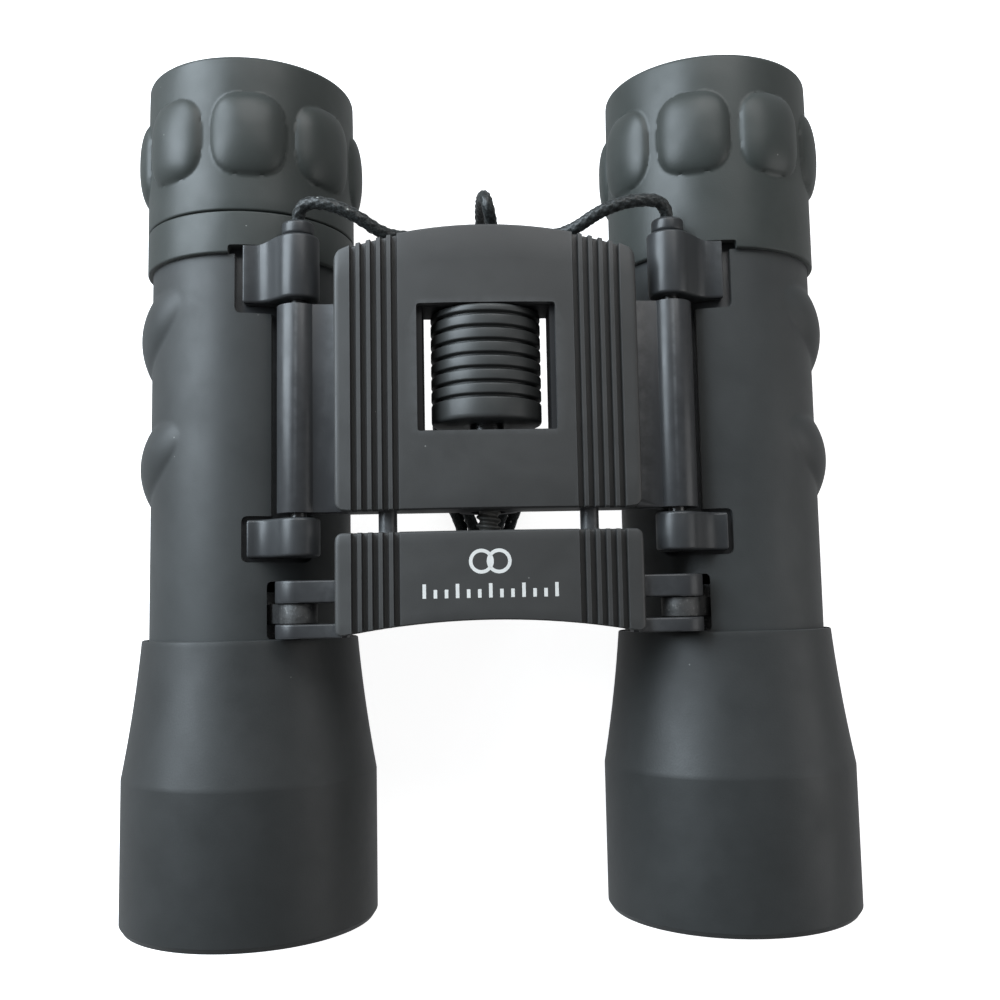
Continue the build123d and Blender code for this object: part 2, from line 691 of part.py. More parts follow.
def build_side(name, side):
    save(f"{name}_hinge_pin", rod(side * HINGE_X, HINGE_Z, PIN_R, LOWER_LUG[0], HINGE_PIN_END))
    save(f"{name}_link_pin", rod(side * HINGE_X, HINGE_Z, LINK_PIN_R, EAR_FRONT[0], EAR_REAR[1]))
    save(f"{name}_strap_ferrule", ferrule(side))
    save(f"{name}_cord_lead", lead(name))
    save(f"{name}_chassis", chassis(side))
    save(f"{name}_armour", armour(side))
    save(f"{name}_bell", bell(side))
    save(f"{name}_objective_carrier", objective_carrier(side))
    objective_lenses(side, name)
    prisms(side, name)
    dioptre = name == "right"
    eyepiece(side, name, BORE_R - SLIDE_GAP if dioptre else BORE_R)
    if dioptre:
        collar = ring(side * BARREL_X, BARREL_Z, EYECUP_R, TUBE_R, EYECUP_LIP, DIOPTRE_SEAM)
        save("right_eyepiece_collar", collar - lug_notch(side))
        save("right_eyecup", eyecup(side, DIOPTRE_SEAM + 0.15, EYE_PAD_TILT[name], False))
    else:
        save("left_eyecup", eyecup(side, EYECUP_LIP, EYE_PAD_TILT[name], True))


for side_name, side_sign in SIDES.items():
    build_side(side_name, side_sign)
save("rear_bridge", rear_bridge())
save("rear_bridge_cover", rear_cover())
save("cover_screws", screws(REAR_SCREWS))
save("front_bridge", front_bridge())
save("front_bridge_cover", front_cover())
save("front_cover_screws", screws(FRONT_SCREWS))
save("focus_wheel_grip", focus_grip())
save("focus_nut", focus_nut())
save("focus_screw", rod(0, WHEEL_Z, SCREW_R, SOCKET_END, SCREW_REAR))
rods = [rod(s * ROD_X, ROD_Z, ROD_R, SOCKET_END, ROD_REAR) for s in SIDES.values()]
save("guide_rods", Compound(children=rods))
save("cord_hank", hank())
save("cord_tie", cord_tie())
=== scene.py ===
import json
import math

import bmesh
import bpy
from mathutils import Matrix, Vector


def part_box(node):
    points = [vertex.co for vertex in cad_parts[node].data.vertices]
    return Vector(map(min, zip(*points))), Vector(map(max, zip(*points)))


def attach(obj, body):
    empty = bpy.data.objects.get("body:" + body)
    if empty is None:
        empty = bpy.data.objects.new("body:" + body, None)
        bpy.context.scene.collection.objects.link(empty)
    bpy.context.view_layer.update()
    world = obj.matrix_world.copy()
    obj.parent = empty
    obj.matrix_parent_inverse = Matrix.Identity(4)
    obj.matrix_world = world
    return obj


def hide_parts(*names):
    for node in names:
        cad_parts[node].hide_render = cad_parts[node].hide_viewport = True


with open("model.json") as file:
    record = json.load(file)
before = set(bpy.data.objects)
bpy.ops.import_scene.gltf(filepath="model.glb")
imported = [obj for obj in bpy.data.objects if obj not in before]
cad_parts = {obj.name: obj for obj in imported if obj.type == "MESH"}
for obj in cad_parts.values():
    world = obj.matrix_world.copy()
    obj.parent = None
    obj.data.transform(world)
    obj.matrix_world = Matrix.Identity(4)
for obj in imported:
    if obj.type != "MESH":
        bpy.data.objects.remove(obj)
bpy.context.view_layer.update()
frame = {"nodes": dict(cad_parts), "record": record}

# Lengths are in millimetres until a mesh is made. Y runs along the barrels, eyecups at +Y.
MM = 0.001
JOINTS = {j["name"]: j for j in frame["record"]["behaviour"]["joints"]}
SIDES = {"right": -1, "left": 1}
HINGE_X = JOINTS["left_hinge"]["pos_m"][0] / MM
HINGE_Z = JOINTS["left_hinge"]["pos_m"][2] / MM
BARREL_X = -JOINTS["diopter_turn"]["pos_m"][0] / MM
BARREL_Z = JOINTS["diopter_turn"]["pos_m"][2] / MM
WHEEL_Z = JOINTS["focus_turn"]["pos_m"][2] / MM


def node_box(node):
    low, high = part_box(node)
    return Vector(low) / MM, Vector(high) / MM


# ---------------------------------------------------------------- camera, floor and light


def place_camera():
    cam = bpy.data.objects.new("camera", bpy.data.cameras.new("camera"))
    bpy.context.scene.collection.objects.link(cam)
    cam.location = (-0.00292, -0.01810, 0.19522)
    cam.rotation_euler = (0.09659, -0.02717, -0.01902)
    cam.data.lens = 39.31
    cam.data.sensor_width = 36.0
    cam.data.clip_start = 0.01
    bpy.context.scene.camera = cam


def area_light(name, place, target, size, power, colour=(1, 1, 1)):
    data = bpy.data.lights.new(name, "AREA")
    data.shape = "RECTANGLE"
    data.size, data.size_y = size
    data.energy = power
    data.color = colour
    light = bpy.data.objects.new(name, data)
    light.location = place
    light.rotation_euler = (Vector(target) - Vector(place)).to_track_quat("-Z", "Y").to_euler()
    bpy.context.scene.collection.objects.link(light)


def light_the_scene():
    bpy.context.scene.view_settings.view_transform = "Standard"
    world = bpy.data.worlds.new("studio")
    world.use_nodes = True
    sky = world.node_tree.nodes["Background"]
    sky.inputs["Color"].default_value = (0.96, 0.98, 1.0, 1)
    sky.inputs["Strength"].default_value = 0.155
    bpy.context.scene.world = world
    area_light("window_left", (-0.46, 0.30, 0.34), (0, 0.01, 0.02), (0.55, 0.45), 6.7, (0.80, 0.91, 1.0))
    area_light("overhead", (0.10, 0.42, 0.42), (0, 0.02, 0.02), (0.5, 0.3), 1.55)
    area_light("fill_right", (0.48, -0.05, 0.22), (0, 0, 0.02), (0.3, 0.3), 0.35)


def lay_floor():
    floor = flat_plane("floor", 3.0)
    paper = bpy.data.materials.new("pale_paper")
    paper.use_nodes = True
    shader = paper.node_tree.nodes["Principled BSDF"]
    shader.inputs["Base Color"].default_value = (0.9, 0.9, 0.9, 1)
    shader.inputs["Roughness"].default_value = 0.9
    shader.inputs["Emission Color"].default_value = (1, 1, 1, 1)
    shader.inputs["Emission Strength"].default_value = 0.9
    floor.visible_glossy = False
    floor.data.materials.append(paper)


def flat_plane(name, half):
    mesh = bpy.data.meshes.new(name)
    corners = [(-half, -half, 0), (half, -half, 0), (half, half, 0), (-half, half, 0)]
    mesh.from_pydata(corners, [], [(0, 1, 2, 3)])
    plane = bpy.data.objects.new(name, mesh)
    bpy.context.scene.collection.objects.link(plane)
    return plane


# ---------------------------------------------------------------- materials


class Paint:
    """A Principled material with the node helpers that the finishes share."""

    def __init__(self, name, colour, rough, metal=0.0, sheen=0.0, specular=0.5):
        self.mat = bpy.data.materials.new(name)
        self.mat.use_nodes = True
        self.tree = self.mat.node_tree
        self.shader = self.tree.nodes["Principled BSDF"]
        self.shader.inputs["Metallic"].default_value = metal
        self.shader.inputs["Sheen Weight"].default_value = sheen
        self.shader.inputs["Sheen Roughness"].default_value = 0.5
        self.shader.inputs["Specular IOR Level"].default_value = specular
        self.place = self.node("ShaderNodeTexCoord").outputs["Object"]
        self.colour = (*colour, 1)
        self.rough = rough
        self.height = None

    def node(self, kind, **inputs):
        made = self.tree.nodes.new(kind)
        for key, value in inputs.items():
            made.inputs[key.replace("_", " ")].default_value = value
        return made

    def link(self, source, socket):
        """Feed a socket from another node, or set it to a constant."""
        if isinstance(source, bpy.types.NodeSocket):
            self.tree.links.new(source, socket)
        else:
            socket.default_value = source

    def noise(self, scale, detail=3.0, rough=0.55, place=None):
        made = self.node("ShaderNodeTexNoise", Scale=scale, Detail=detail, Roughness=rough)
        self.link(place or self.place, made.inputs["Vector"])
        return made.outputs["Fac"]

    def stretched(self, scale):
        made = self.node("ShaderNodeMapping")
        made.inputs["Scale"].default_value = scale
        self.link(self.place, made.inputs["Vector"])
        return made.outputs["Vector"]

    def ramp(self, source, low, high, out_low=0.0, out_high=1.0):
        made = self.node("ShaderNodeMapRange")
        made.inputs["From Min"].default_value = low
        made.inputs["From Max"].default_value = high
        made.inputs["To Min"].default_value = out_low
        made.inputs["To Max"].default_value = out_high
        self.link(source, made.inputs["Value"])
        return made.outputs["Result"]

    def math(self, kind, a, b):
        made = self.node("ShaderNodeMath")
        made.operation = kind
        self.link(a, made.inputs[0])
        self.link(b, made.inputs[1])
        return made.outputs[0]

    def tint(self, fac, colour):
        """Blend the colour so far towards another one by fac."""
        mix = self.node("ShaderNodeMix")
        mix.data_type = "RGBA"
        self.link(fac, mix.inputs["Factor"])
        self.link(self.colour, mix.inputs[6])
        mix.inputs[7].default_value = (*colour, 1)
        self.colour = mix.outputs[2]

    def scale_colour(self, fac):
        """Multiply the colour so far by a grey value."""
        mix = self.node("ShaderNodeVectorMath")
        mix.operation = "SCALE"
        if isinstance(self.colour, tuple):
            self.colour = self.colour[:3]
        self.link(self.colour, mix.inputs[0])
        self.link(fac, mix.inputs["Scale"])
        self.colour = mix.outputs[0]

    def add_rough(self, fac, amount):
        self.rough = self.math("ADD", self.rough, self.math("MULTIPLY", fac, amount))

    def bump(self, source, strength, depth_mm):
        made = self.node("ShaderNodeBump")
        made.inputs["Strength"].default_value = strength
        made.inputs["Distance"].default_value = depth_mm * MM
        self.link(source, made.inputs["Height"])
        if self.height:
            self.link(self.height, made.inputs["Normal"])
        self.height = made.outputs["Normal"]

    def mottle(self, scale, amount):
        """Slow change of tone over the surface."""
        self.scale_colour(self.ramp(self.noise(scale, 4.0), 0.3, 0.7, 1 - amount, 1 + amount))

    def worn_edges(self, colour, low=0.52, high=0.62, amount=0.5):
        """Lighter tone where the shape turns sharply outwards."""
        point = self.node("ShaderNodeNewGeometry").outputs["Pointiness"]
        edge = self.ramp(point, low, high)
        patchy = self.math("MULTIPLY", edge, self.ramp(self.noise(700.0), 0.35, 0.65, 0.4, 1.0))
        self.tint(self.math("MULTIPLY", patchy, amount), colour)

    def dust(self, scale, size, colour=(0.2, 0.2, 0.19), share=0.03):
        """Sparse pale specks."""
        cells = self.node("ShaderNodeTexVoronoi", Scale=scale)
        self.link(self.place, cells.inputs["Vector"])
        spot = self.math("LESS_THAN", cells.outputs["Distance"], size)
        pick = self.node("ShaderNodeSeparateColor")
        self.link(cells.outputs["Color"], pick.inputs[0])
        rare = self.math("LESS_THAN", pick.outputs[0], share)
        self.tint(self.math("MULTIPLY", spot, rare), colour)

    def done(self):
        self.link(self.colour, self.shader.inputs["Base Color"])
        self.link(self.rough, self.shader.inputs["Roughness"])
        if self.height:
            self.link(self.height, self.shader.inputs["Normal"])
        return self.mat


def rubber(name, colour, rough=0.62):
    """Soft-touch skin: a very fine grain, faint handling marks and a little dust."""
    paint = Paint(name, colour, rough, sheen=0.08, specular=0.45)
    paint.mottle(45.0, 0.10)
    paint.mottle(400.0, 0.05)
    paint.add_rough(paint.ramp(paint.noise(120.0, 4.0), 0.35, 0.7, -1.0, 1.0), 0.07)
    paint.dust(620.0, 0.07)
    paint.bump(paint.noise(3200.0, 2.0), 0.35, 0.03)
    paint.bump(paint.noise(260.0, 2.0), 0.12, 0.05)
    return paint.done()


def satin(name, colour, rough=0.38, grain=0.25, edge=0.5):
    """Moulded satin plastic with a fine spark-eroded texture and brighter worn edges."""
    paint = Paint(name, colour, rough, specular=0.5)
    paint.mottle(70.0, 0.10)
    paint.add_rough(paint.ramp(paint.noise(180.0, 4.0), 0.35, 0.7, -1.0, 1.0), 0.06)
    paint.worn_edges((0.16, 0.165, 0.17), amount=edge)
    paint.dust(560.0, 0.06)
    paint.bump(paint.noise(5200.0, 2.0), grain, 0.02)
    paint.bump(paint.noise(350.0, 2.0), 0.1, 0.04)
    return paint.done()


def casting(name, colour):
    """Rough blackened casting with bare glints on its high spots."""
    paint = Paint(name, colour, 0.48, metal=0.55, specular=0.5)
    paint.mottle(300.0, 0.25)
    paint.worn_edges((0.30, 0.30, 0.29), amount=0.7)
    paint.tint(paint.ramp(paint.noise(1500.0, 5.0), 0.58, 0.75, 0.0, 0.5), (0.3, 0.3, 0.29))
    paint.bump(paint.noise(900.0, 5.0, 0.7), 0.8, 0.14)
    return paint.done()


def steel(name, colour, rough=0.3):
    """Turned steel: fine rings round the Y axis."""
    paint = Paint(name, colour, rough, metal=1.0)
    rings = paint.noise(1.0, 4.0, 0.6, paint.stretched((60.0, 5200.0, 60.0)))
    paint.add_rough(paint.ramp(rings, 0.3, 0.7, -1.0, 1.0), 0.08)
    paint.bump(rings, 0.25, 0.012)
    return paint.done()


def inner_black(name):
    paint = Paint(name, (0.012, 0.012, 0.013), 0.55)
    paint.mottle(200.0, 0.15)
    paint.bump(paint.noise(2400.0, 2.0), 0.2, 0.02)
    return paint.done()


def coated_glass(name, tint):
    """Lens with a coloured anti-reflection coating."""
    paint = Paint(name, tint, 0.03)
    shader = paint.shader
    shader.inputs["Transmission Weight"].default_value = 0.97
    shader.inputs["IOR"].default_value = 1.52
    shader.inputs["Specular Tint"].default_value = (0.75, 0.35, 0.62, 1)
    shader.inputs["Coat Weight"].default_value = 0.3
    shader.inputs["Coat Tint"].default_value = (0.35, 0.75, 0.55, 1)
    paint.add_rough(paint.ramp(paint.noise(90.0, 3.0), 0.5, 0.8), 0.04)
    return paint.done()


def braid(name):
    """Polyester braid: the plaits are modelled, this adds their filaments."""
    paint = Paint(name, (0.010, 0.012, 0.012), 0.42, sheen=0.12)
    fibres = paint.noise(3600.0, 2.0)
    paint.scale_colour(paint.ramp(fibres, 0.42, 0.68, 0.4, 3.6))
    paint.dust(900.0, 0.16, (0.35, 0.36, 0.34), 0.05)
    paint.bump(fibres, 0.5, 0.05)
    return paint.done()


def vinyl(name):
    paint = Paint(name, (0.014, 0.014, 0.015), 0.32)
    paint.mottle(200.0, 0.2)
    paint.bump(paint.noise(900.0, 2.0), 0.2, 0.04)
    return paint.done()


FINISHES = {
    "satin_black": satin("satin_black", (0.033, 0.035, 0.037), 0.36),
    "rubber_armour": rubber("rubber_armour", (0.036, 0.039, 0.039), 0.5),
    "bell_shell": rubber("bell_shell", (0.028, 0.030, 0.030), 0.46),
    "eyecup_rubber": rubber("eyecup_rubber", (0.038, 0.044, 0.041), 0.43),
    "cast_metal": casting("cast_metal", (0.06, 0.06, 0.06)),
    "bridge_casting": satin("bridge_casting", (0.030, 0.031, 0.033), 0.36),
    "bridge_cover": satin("bridge_cover", (0.046, 0.046, 0.045), 0.46, 0.4),
    "wheel_grip": satin("wheel_grip", (0.042, 0.044, 0.043), 0.46, 0.3, 0.6),
    "steel_pin": steel("steel_pin", (0.10, 0.10, 0.10)),
    "steel_screw": steel("steel_screw", (0.16, 0.16, 0.16), 0.35),
    "screw_metal": casting("screw_metal", (0.24, 0.235, 0.22)),
    "optical_glass": coated_glass("optical_glass", (0.86, 0.93, 0.95)),
    "inner_black": inner_black("inner_black"),
    "braided_cord": braid("braided_cord"),
    "cord_wrap": vinyl("cord_wrap"),
}
NODE_SLOT = {s["node"]: s["material_slot"] for s in frame["record"]["subparts"]}


def paint_cad_nodes():
    for node, obj in frame["nodes"].items():
        for slot in obj.material_slots:
            slot.link = "OBJECT"
            slot.material = FINISHES[NODE_SLOT[node]]


# ---------------------------------------------------------------- mesh helpers


def make_piece(name, body, slot, verts, faces, sharp=32, replaces=()):
    """A closed mesh piece from points in millimetres."""
    mesh = bpy.data.meshes.new(name)
    mesh.from_pydata([(x * MM, y * MM, z * MM) for x, y, z in verts], [], faces)
    piece = bpy.data.objects.new(name, mesh)
    bpy.context.scene.collection.objects.link(piece)
    finish_piece(piece, body, slot, sharp, replaces)
    return piece


def finish_piece(piece, body, slot, sharp=32, replaces=()):
    face_outwards(piece.data)
    piece.data.shade_smooth()
    piece.data.set_sharp_from_angle(angle=math.radians(sharp))
    piece.data.materials.clear()
    piece.data.materials.append(FINISHES[slot])
    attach(piece, body)
    if replaces:
        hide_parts(*replaces)


def face_outwards(mesh):
    work = bmesh.new()
    work.from_mesh(mesh)
    bmesh.ops.remove_doubles(work, verts=work.verts, dist=2e-7)
    bmesh.ops.recalc_face_normals(work, faces=work.faces)
    work.to_mesh(mesh)
    work.free()


def rounded(corners, steps=5):
    """Points of a closed outline given as (u, v, radius), with each corner rounded."""
    out = []
    count = len(corners)
    for i, (u, v, radius) in enumerate(corners):
        here = Vector((u, v))
        before = Vector(corners[i - 1][:2]) - here
        after = Vector(corners[(i + 1) % count][:2]) - here
        turn = math.pi - before.angle(after)
        if radius <= 0 or turn < 1e-3:
            out.append((u, v))
            continue
        reach = radius * math.tan(turn / 2)
        reach = min(reach, before.length * 0.49, after.length * 0.49)
        start = here + before.normalized() * reach
        end = here + after.normalized() * reach
        for k in range(steps + 1):
            t = k / steps
            p = start.lerp(here, t).lerp(here.lerp(end, t), t)
            out.append((p.x, p.y))
    return out


def lathe(name, body, slot, centre, profile, segments=160, push=None, replaces=(), sharp=32):
    """Turn a closed outline of (radius, y) round the axis through centre = (x, z).

    push(angle, radius, y) is added to the radius. Angle 0 points up and grows towards +X."""
    count = len(profile)
    verts = []
    for i in range(segments):
        angle = 2 * math.pi * i / segments
        for radius, y in profile:
            r = radius + (push(angle, radius, y) if push else 0.0)
            verts.append((centre[0] + r * math.sin(angle), y, centre[1] + r * math.cos(angle)))
    faces = []
    for i in range(segments):
        a, b = i * count, (i + 1) % segments * count
        for j in range(count):
            k = (j + 1) % count
            faces.append((a + j, a + k, b + k, b + j))
    return make_piece(name, body, slot, verts, faces, sharp, replaces)


def slab_along_y(name, body, slot, outline, y0, y1, edge, replaces=(), steps=4, sharp=32):
    """Extrude a closed outline of (x, z) along Y with its end edges rounded by edge."""
    count = len(outline)
    inward = []
    area = sum(outline[i - 1][0] * p[1] - p[0] * outline[i - 1][1] for i, p in enumerate(outline))
    sign = 1 if area > 0 else -1
    for i in range(count):
        a, b = Vector(outline[i - 1]), Vector(outline[(i + 1) % count])
        d = (b - a).normalized()
        inward.append(Vector((-d.y, d.x)) * sign)
    ends = []
    for k in range(steps + 1):
        t = math.pi / 2 * k / steps
        ends.append((y0 + edge * (1 - math.cos(t)), edge * (1 - math.sin(t))))
    far = [(y1 - (y - y0), e) for y, e in reversed(ends)]
    verts = []
    for y, inset in ends + far:
        for p, n in zip(outline, inward):
            verts.append((p[0] + n.x * inset, y, p[1] + n.y * inset))
    faces = [tuple(range(count))]
    total = len(ends) + len(far)
    for r in range(total - 1):
        for j in range(count):
            k = (j + 1) % count
            faces.append((r * count + j, r * count + k, (r + 1) * count + k, (r + 1) * count + j))
    faces.append(tuple(reversed(range((total - 1) * count, total * count))))
    return make_piece(name, body, slot, verts, faces, sharp, replaces)


def cutter(name, outline, z0, z1):
    """A prism from a closed outline of (x, y), for a boolean cut."""
    mesh = bpy.data.meshes.new(name)
    count = len(outline)
    verts = [(x * MM, y * MM, z * MM) for z in (z0, z1) for x, y in outline]
    faces = [tuple(reversed(range(count))), tuple(range(count, 2 * count))]
    faces += [(j, (j + 1) % count, count + (j + 1) % count, count + j) for j in range(count)]
    mesh.from_pydata(verts, [], faces)
    made = bpy.data.objects.new(name, mesh)
    bpy.context.scene.collection.objects.link(made)
    face_outwards(mesh)
    return made


def cut(piece, tools, kind="DIFFERENCE"):
    for tool in tools:
        mod = piece.modifiers.new("cut", "BOOLEAN")
        mod.operation = kind
        mod.solver = "EXACT"
        mod.object = tool
    bake_modifiers(piece)
    for tool in tools:
        bpy.data.objects.remove(tool)


def bake_modifiers(piece):
    graph = bpy.context.evaluated_depsgraph_get()
    mesh = bpy.data.meshes.new_from_object(piece.evaluated_get(graph))
    piece.modifiers.clear()
    piece.data = mesh


def softened(node, name, width, angle=35, sharp=32, slot=None):
    """A copy of a CAD node with its sharp edges rounded by width, standing for that node."""
    source = frame["nodes"][node]
    piece = bpy.data.objects.new(name, source.data.copy())
    bpy.context.scene.collection.objects.link(piece)
    piece.matrix_world = source.matrix_world
    work = bmesh.new()
    work.from_mesh(piece.data)
    bmesh.ops.remove_doubles(work, verts=work.verts, dist=2e-6)
    bmesh.ops.dissolve_limit(
        work, angle_limit=math.radians(0.6), verts=work.verts, edges=work.edges, use_dissolve_boundaries=False
    )
    work.to_mesh(piece.data)
    work.free()
    mod = piece.modifiers.new("round", "BEVEL")
    mod.width = width * MM
    mod.segments = 3
    mod.limit_method = "ANGLE"
    mod.angle_limit = math.radians(angle)
    mod.use_clamp_overlap = True
    bake_modifiers(piece)
    finish_piece(piece, body_of(node), slot or NODE_SLOT[node], sharp, (node,))
    return piece


def body_of(node):
    for body, nodes in frame["record"]["behaviour"]["bodies"].items():
        if node in nodes:
            return body


def smoothstep(t):
    t = min(max(t, 0.0), 1.0)
    return t * t * (3 - 2 * t)


# ---------------------------------------------------------------- barrels

CUT_IN = 26.6
CUT_FLOOR = BARREL_Z + 5.0
CUT_TOP = 60.0
BELL_LOW, BELL_HIGH = node_box("left_bell")
BELL_R = (BELL_HIGH.z - BELL_LOW.z) / 2
BELL_FRONT, BELL_REAR = BELL_LOW.y, BELL_HIGH.y
BELL_CREASE = BELL_FRONT + 22.0
BELL_REAR_R = 16.7
SLEEVE_R = 16.0
MOUTH_R = 17.8
CELL_SEAT_R = 17.6
CELL_FRONT = node_box("left_objective_carrier")[0].y


def bell_profile():
    """Flared sleeve, outside from the rear rim to the front one and back inside."""
    points = [(BELL_REAR_R - 0.25, BELL_REAR), (BELL_REAR_R - 0.05, BELL_REAR - 0.12)]
    steps = 40
    for k in range(steps + 1):
        t = k / steps
        ease = 0.35 * t * t + 0.65 * t
        y = BELL_REAR - 0.35 + (BELL_CREASE - BELL_REAR + 0.35) * t
        points.append((BELL_REAR_R + (BELL_R - BELL_REAR_R) * ease, y))
    points += [(BELL_R, BELL_CREASE - 0.25), (BELL_R, BELL_CREASE - 8), (BELL_R, BELL_FRONT + 8)]
    front = rounded(
        [
            (BELL_R, BELL_FRONT + 4, 0),
            (BELL_R, BELL_FRONT + 0.8, 0.12),
            (BELL_R - 0.55, BELL_FRONT, 0.12),
            (MOUTH_R, BELL_FRONT, 0.35),
            (MOUTH_R, CELL_FRONT, 0.05),
            (CELL_SEAT_R, CELL_FRONT, 0.0),
            (CELL_SEAT_R, -46.0, 0.5),
            (SLEEVE_R, -38.5, 0.5),
            (SLEEVE_R, BELL_REAR, 0.2),
        ]
    )
    return points + front


def build_bell(side, sign):
    centre = (sign * BARREL_X, BARREL_Z)
    lathe(
        f"{side}_bell_shell",
        f"{side}_objective",
        "bell_shell",
        centre,
        bell_profile(),
        segments=224,
        replaces=(f"{side}_bell",),
        sharp=28,
    )


ARMOUR_R = 15.6
TUBE_R = 14.4
ARMOUR_FRONT, ARMOUR_REAR = node_box("left_armour")[0].y, node_box("left_armour")[1].y
BUMP_Y = (24.0, 3.6)
BUMP_LONG = 14.0
BUMP_WIDE = 4.9
BUMP_UP = 2.5
BUMP_LEAN = math.radians(21)
BUMP_TALL = 1.6


def finger_bumps(sign):
    """Two long swellings that lean over the outer side of the armour."""

    def push(angle, radius, y):
        if radius < ARMOUR_R - 0.01:
            return 0.0
        around = (sign * math.pi / 2 - angle + math.pi) % (2 * math.pi) - math.pi
        up = sign * around * ARMOUR_R - BUMP_UP
        total = 0.0
        for y0 in BUMP_Y:
            along = up * math.cos(BUMP_LEAN) + (y - y0) * math.sin(BUMP_LEAN)
            across = (y - y0) * math.cos(BUMP_LEAN) - up * math.sin(BUMP_LEAN)
            d = (along / BUMP_LONG) ** 2 + (across / BUMP_WIDE) ** 2
            total += BUMP_TALL * max(1 - d, 0.0) ** 0.9
        return total

    return push


UPPER_LUG = (27.3, 36.9)
LOWER_LUG = (-10.6, -5.0)
UPPER_SADDLE_X = 36.0
LOWER_SADDLE_X = 35.3
BORE_R = 13.0
PIN_HOLE_R = 1.25
LINK_PIN_R = 1.0
SLOT_HALF = 3.3
SLOT_Y = (-22.45, -14.0)
LUG_STEP = 0.8
KNUCKLE_R = 3.15
SADDLE_R = 16.35
CHASSIS_LOW, CHASSIS_HIGH = node_box("left_chassis")


def bend(p0, p1, p2, p3, steps):
    """Points of a cubic curve, without its first one."""
    a, b, c, d = Vector(p0), Vector(p1), Vector(p2), Vector(p3)
    out = []
    for k in range(1, steps + 1):
        t = k / steps
        u = 1 - t
        p = a * u**3 + b * 3 * u * u * t + c * 3 * u * t * t + d * t**3
        out.append((p.x, p.y))
    return out


def round_axis(radius, x):
    """Point of the barrel's circle of this radius, over x, for the left side."""
    return x, BARREL_Z + math.sqrt(radius**2 - (x - BARREL_X) ** 2)


def lug_outline(saddle_x):
    """A knuckle that flows into a saddle hugging the barrel, for the left side."""
    points = []
    for k in range(25):
        a = math.radians(228 - k * (228 - 38) / 24)
        points.append((HINGE_X + KNUCKLE_R * math.cos(a), HINGE_Z + KNUCKLE_R * math.sin(a)))
    landing = round_axis(SADDLE_R, 34.9)
    points += bend(points[-1], (31.9, 36.6), (32.6, 35.2), landing, 12)
    x = 35.1
    while x < saddle_x - 0.5:
        points.append(round_axis(SADDLE_R, x))
        x += 0.3
    edge = round_axis(SADDLE_R, saddle_x - 0.4)
    low = round_axis(TUBE_R - 0.3, saddle_x)
    points += bend(edge, (saddle_x, edge[1]), (saddle_x, edge[1]), (saddle_x, edge[1] - 0.5), 5)
    points.append(low)
    x = saddle_x - 0.8
    while x > 29.2:
        points.append(round_axis(TUBE_R - 0.3, x))
        x -= 0.8
    points.append((27.4, 29.6))
    return points


LUGS = (("upper", UPPER_LUG, UPPER_SADDLE_X), ("lower", LOWER_LUG, LOWER_SADDLE_X))


def build_chassis(side, sign):
    """Barrel tube with its two hinge lugs as separate pieces that sink into it."""
    y0, y1 = CHASSIS_LOW.y, CHASSIS_HIGH.y
    profile = rounded([(BORE_R, y0, 0.2), (TUBE_R, y0, 0.2), (TUBE_R, y1, 0.2), (BORE_R, y1, 0.2)], 2)
    body = f"{side}_barrel"
    centre = (sign * BARREL_X, BARREL_Z)
    tube = lathe(
        f"{side}_tube", body, "satin_black", centre, profile, segments=144, replaces=(f"{side}_chassis",)
    )
    cut(tube, [objective_slot_tool(sign)])
    finish_piece(tube, body, "satin_black", 40)
    for name, (y0, y1), saddle_x in LUGS:
        lug = slab_along_y(f"{side}_{name}_lug", body, "satin_black", lug_outline(saddle_x), y0, y1, 0.45)
        tools = [pin_hole_tool(1, PIN_HOLE_R, y0 - 1, y1 + 1)]
        if name == "upper":
            low = y1 - LUG_STEP
            shelf = [(30.9, y1 + 1, 0), (29.8, y1 + 0.1, 0.6), (33.6, low, 1.6)]
            shelf += [(39.0, low, 0), (39.0, y1 + 1, 0)]
            tools.append(cutter("shelf", rounded(shelf), 25.0, 45.0))
        cut(lug, tools)
        if sign < 0:
            lug.data.transform(Matrix.Scale(-1, 4, (1, 0, 0)))
        finish_piece(lug, body, "satin_black", 40)


def pin_hole_tool(sign, radius, y0, y1):
    """A rod on the hinge axis, for a boolean cut."""
    count = 48
    verts = []
    for y in (y0, y1):
        for k in range(count):
            a = 2 * math.pi * k / count
            x, z = sign * HINGE_X + radius * math.cos(a), HINGE_Z + radius * math.sin(a)
            verts.append((x * MM, y * MM, z * MM))
    faces = [tuple(range(count)), tuple(reversed(range(count, 2 * count)))]
    faces += [(j, count + j, count + (j + 1) % count, (j + 1) % count) for j in range(count)]
    mesh = bpy.data.meshes.new("pin_hole")
    mesh.from_pydata(verts, [], faces)
    made = bpy.data.objects.new("pin_hole", mesh)
    bpy.context.scene.collection.objects.link(made)
    face_outwards(mesh)
    return made


def objective_slot_tool(sign):
    """The slot that the objective's lug slides in."""
    y0, y1 = SLOT_Y
    plan = [(-SLOT_HALF, y0, 0.8), (SLOT_HALF, y0, 0.8), (SLOT_HALF, y1, 0.8), (-SLOT_HALF, y1, 0.8)]
    tool = cutter("slot", rounded(plan), 10.0, 22.0)
    lean = math.atan2(BARREL_X - HINGE_X, HINGE_Z - BARREL_Z)
    axis = Matrix.Translation((sign * BARREL_X * MM, 0, BARREL_Z * MM))
    tool.data.transform(axis @ Matrix.Rotation(-sign * lean, 4, "Y"))
    return tool


